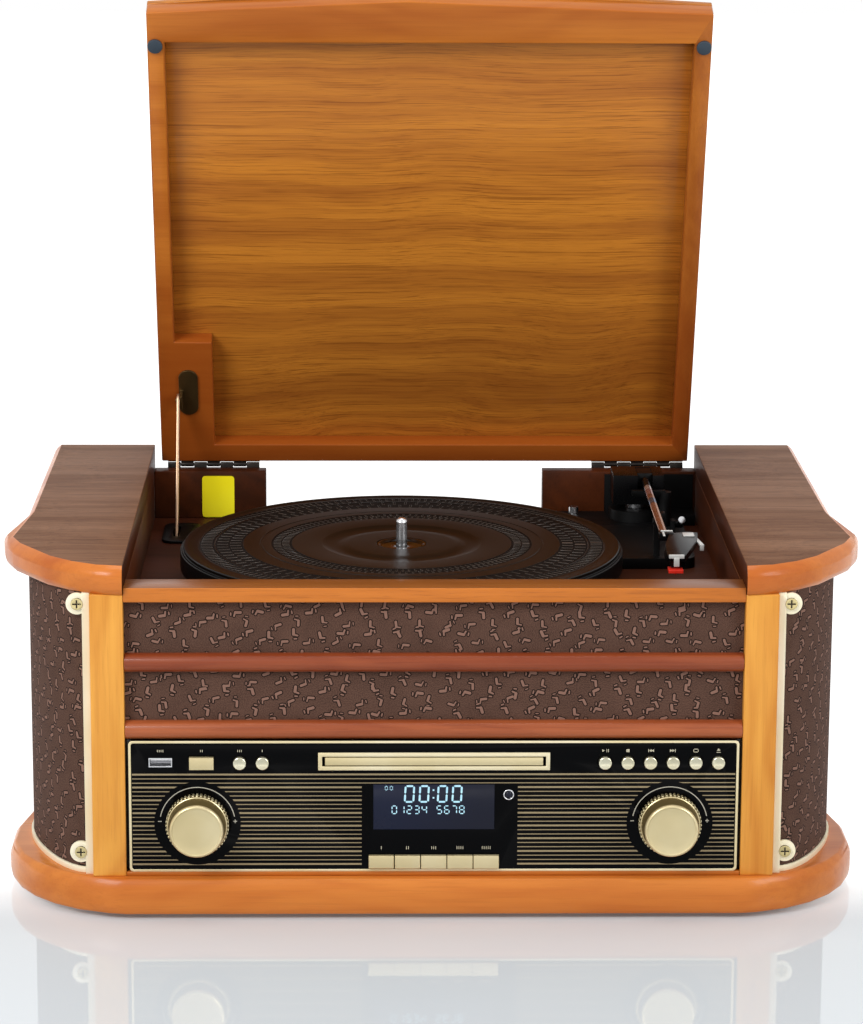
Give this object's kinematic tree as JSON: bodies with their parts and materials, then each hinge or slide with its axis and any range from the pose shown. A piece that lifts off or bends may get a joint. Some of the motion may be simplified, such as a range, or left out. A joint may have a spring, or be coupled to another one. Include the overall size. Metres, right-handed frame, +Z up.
{
  "type": "stereo music centre",
  "caption": "Wooden tabletop music centre with a hinged lid over a belt-driven turntable, a disc tray, a knob and button panel and a curved cloth-covered speaker on each side",
  "frame": {"origin": "centre of the bounding box in plan, at the underside of the feet", "axes": "+Z up, the front faces -Y, +X is on the viewer's right; the lid is drawn open"},
  "size_m": [0.527, 0.3847, 0.5363],
  "materials": {
    "stained_wood": "stained and lacquered, orange-brown",
    "board": "plain stained board, dark red-brown",
    "veneer": "wood veneer, satin",
    "cloth": "woven cloth, brown",
    "gold_metal": "pale gold, satin",
    "black_plastic": "black moulding",
    "rubber": "black rubber",
    "brass": "machined",
    "steel": "bright metal",
    "dark_metal": "bronze-brown plate",
    "copper_tube": "drawn tube, warm grey",
    "red_plastic": "translucent red",
    "gloss_black": "piano black",
    "window": "tinted clear window over a display",
    "circuit_board": "green board",
    "champagne": "champagne gold, satin"
  },
  "bodies": {
    "cabinet": {"plinth": "stained_wood", "feet": "rubber", "front_posts": "stained_wood", "front_rails": "stained_wood", "baffles": "board", "grille_cloth": "cloth", "side_panels": "veneer", "speaker_trims": "gold_metal", "wings": "stained_wood", "back_wall": "board", "hinge_posts": "stained_wood", "deck": "board", "turntable_chassis": "black_plastic", "bearing_bush": "brass", "turntable_motor": "steel", "drive_belt": "rubber", "stay_catch": "black_plastic", "hinge_lower": "dark_metal", "fascia": "gloss_black", "fascia_border": "gold_metal", "display_window": "window", "control_board": "circuit_board", "cd_mechanism": "black_plastic", "speakers": "black_plastic", "transformer": "steel", "main_board": "circuit_board", "rear_panel": "black_plastic", "sockets": "steel"},
    "lid": {"lid_frame": "stained_wood", "lid_panel": "veneer", "lid_bumpers": "rubber", "stay_bracket": "dark_metal", "hinge_upper": "dark_metal"},
    "stay": {"lid_stay": "steel"},
    "turntable": {"platter": "black_plastic", "platter_mat": "rubber", "spindle": "steel"},
    "pulley": {"motor_pulley": "brass"},
    "arm_carrier": {"tonearm_housing": "black_plastic"},
    "arm": {"tonearm_tube": "copper_tube", "headshell": "black_plastic", "stylus": "red_plastic"},
    "lever": {"cue_lever": "black_plastic"},
    "tray": {"cd_tray": "gloss_black"},
    "volume": {"volume_knob": "champagne"},
    "tuner": {"tuner_knob": "champagne"},
    "power_push": {"power_button": "champagne"},
    "function_push": {"function_button": "champagne"},
    "record_push": {"record_button": "champagne"},
    "play_push": {"play_button": "champagne"},
    "stop_push": {"stop_button": "champagne"},
    "back_push": {"back_button": "champagne"},
    "forward_push": {"forward_button": "champagne"},
    "mode_push": {"mode_button": "champagne"},
    "open_push": {"open_button": "champagne"},
    "menu_push": {"menu_key": "champagne"},
    "info_push": {"info_key": "champagne"},
    "scan_push": {"scan_key": "champagne"},
    "preset_push": {"preset_key": "champagne"},
    "tone_push": {"tone_key": "champagne"}
  },
  "joints": [
    {"name": "lid_hinge", "type": "hinge", "parent": "cabinet", "child": "lid", "pos_m": [0, 0.1714, 0.2035], "axis": [1, 0, 0], "range_deg": [0, 69.2]},
    {"name": "stay_pivot", "type": "hinge", "parent": "lid", "child": "stay", "pos_m": [-0.1675, 0.14704, 0.25298], "axis": [1, 0, 0], "range_deg": [-48.2, 0]},
    {"name": "platter_spin", "type": "hinge", "parent": "cabinet", "child": "turntable", "pos_m": [-0.018, -0.013, 0.18], "axis": [0, 0, 1], "continuous": true},
    {"name": "pulley_spin", "type": "hinge", "parent": "cabinet", "child": "pulley", "pos_m": [-0.09154, 0.04871, 0.18], "axis": [0, 0, 1], "continuous": true},
    {"name": "arm_swing", "type": "hinge", "parent": "cabinet", "child": "arm_carrier", "pos_m": [0.143, 0.131, 0.18], "axis": [0, 0, -1], "range_deg": [0, 35]},
    {"name": "arm_lift", "type": "hinge", "parent": "arm_carrier", "child": "arm", "pos_m": [0.143, 0.131, 0.203], "axis": [-1, 0, 0], "range_deg": [0, 2.5]},
    {"name": "cue_lever_pivot", "type": "hinge", "parent": "cabinet", "child": "lever", "pos_m": [0.1675, 0.083, 0.182], "axis": [-1, 0, 0], "range_deg": [0, 40]},
    {"name": "tray_slide", "type": "slide", "parent": "cabinet", "child": "tray", "axis": [0, -1, 0], "range_m": [0, 0.132]},
    {"name": "volume_turn", "type": "hinge", "parent": "cabinet", "child": "volume", "pos_m": [-0.142, -0.18, 0.0581], "axis": [0, 1, 0], "range_deg": [-135, 135]},
    {"name": "tuner_turn", "type": "hinge", "parent": "cabinet", "child": "tuner", "pos_m": [0.142, -0.18, 0.0581], "axis": [0, 1, 0], "continuous": true},
    {"name": "power_press", "type": "slide", "parent": "cabinet", "child": "power_push", "axis": [0, 1, 0], "range_m": [0, 0.0012], "stiffness_N_per_m": 600, "springref_m": -0.0005},
    {"name": "function_press", "type": "slide", "parent": "cabinet", "child": "function_push", "axis": [0, 1, 0], "range_m": [0, 0.0012], "stiffness_N_per_m": 600, "springref_m": -0.0005},
    {"name": "record_press", "type": "slide", "parent": "cabinet", "child": "record_push", "axis": [0, 1, 0], "range_m": [0, 0.0012], "stiffness_N_per_m": 600, "springref_m": -0.0005},
    {"name": "play_press", "type": "slide", "parent": "cabinet", "child": "play_push", "axis": [0, 1, 0], "range_m": [0, 0.0012], "stiffness_N_per_m": 600, "springref_m": -0.0005},
    {"name": "stop_press", "type": "slide", "parent": "cabinet", "child": "stop_push", "axis": [0, 1, 0], "range_m": [0, 0.0012], "stiffness_N_per_m": 600, "springref_m": -0.0005},
    {"name": "back_press", "type": "slide", "parent": "cabinet", "child": "back_push", "axis": [0, 1, 0], "range_m": [0, 0.0012], "stiffness_N_per_m": 600, "springref_m": -0.0005},
    {"name": "forward_press", "type": "slide", "parent": "cabinet", "child": "forward_push", "axis": [0, 1, 0], "range_m": [0, 0.0012], "stiffness_N_per_m": 600, "springref_m": -0.0005},
    {"name": "mode_press", "type": "slide", "parent": "cabinet", "child": "mode_push", "axis": [0, 1, 0], "range_m": [0, 0.0012], "stiffness_N_per_m": 600, "springref_m": -0.0005},
    {"name": "open_press", "type": "slide", "parent": "cabinet", "child": "open_push", "axis": [0, 1, 0], "range_m": [0, 0.0012], "stiffness_N_per_m": 600, "springref_m": -0.0005},
    {"name": "menu_press", "type": "slide", "parent": "cabinet", "child": "menu_push", "axis": [0, 1, 0], "range_m": [0, 0.0012], "stiffness_N_per_m": 600, "springref_m": -0.0005},
    {"name": "info_press", "type": "slide", "parent": "cabinet", "child": "info_push", "axis": [0, 1, 0], "range_m": [0, 0.0012], "stiffness_N_per_m": 600, "springref_m": -0.0005},
    {"name": "scan_press", "type": "slide", "parent": "cabinet", "child": "scan_push", "axis": [0, 1, 0], "range_m": [0, 0.0012], "stiffness_N_per_m": 600, "springref_m": -0.0005},
    {"name": "preset_press", "type": "slide", "parent": "cabinet", "child": "preset_push", "axis": [0, 1, 0], "range_m": [0, 0.0012], "stiffness_N_per_m": 600, "springref_m": -0.0005},
    {"name": "tone_press", "type": "slide", "parent": "cabinet", "child": "tone_push", "axis": [0, 1, 0], "range_m": [0, 0.0012], "stiffness_N_per_m": 600, "springref_m": -0.0005}
  ],
  "couplings": [
    {"joint": "stay_pivot", "follows": "lid_hinge", "ratio": -0.6958},
    {"joint": "pulley_spin", "follows": "platter_spin", "ratio": 12.4},
    {"joint": "cue_lever_pivot", "follows": "arm_lift", "ratio": 16}
  ]
}
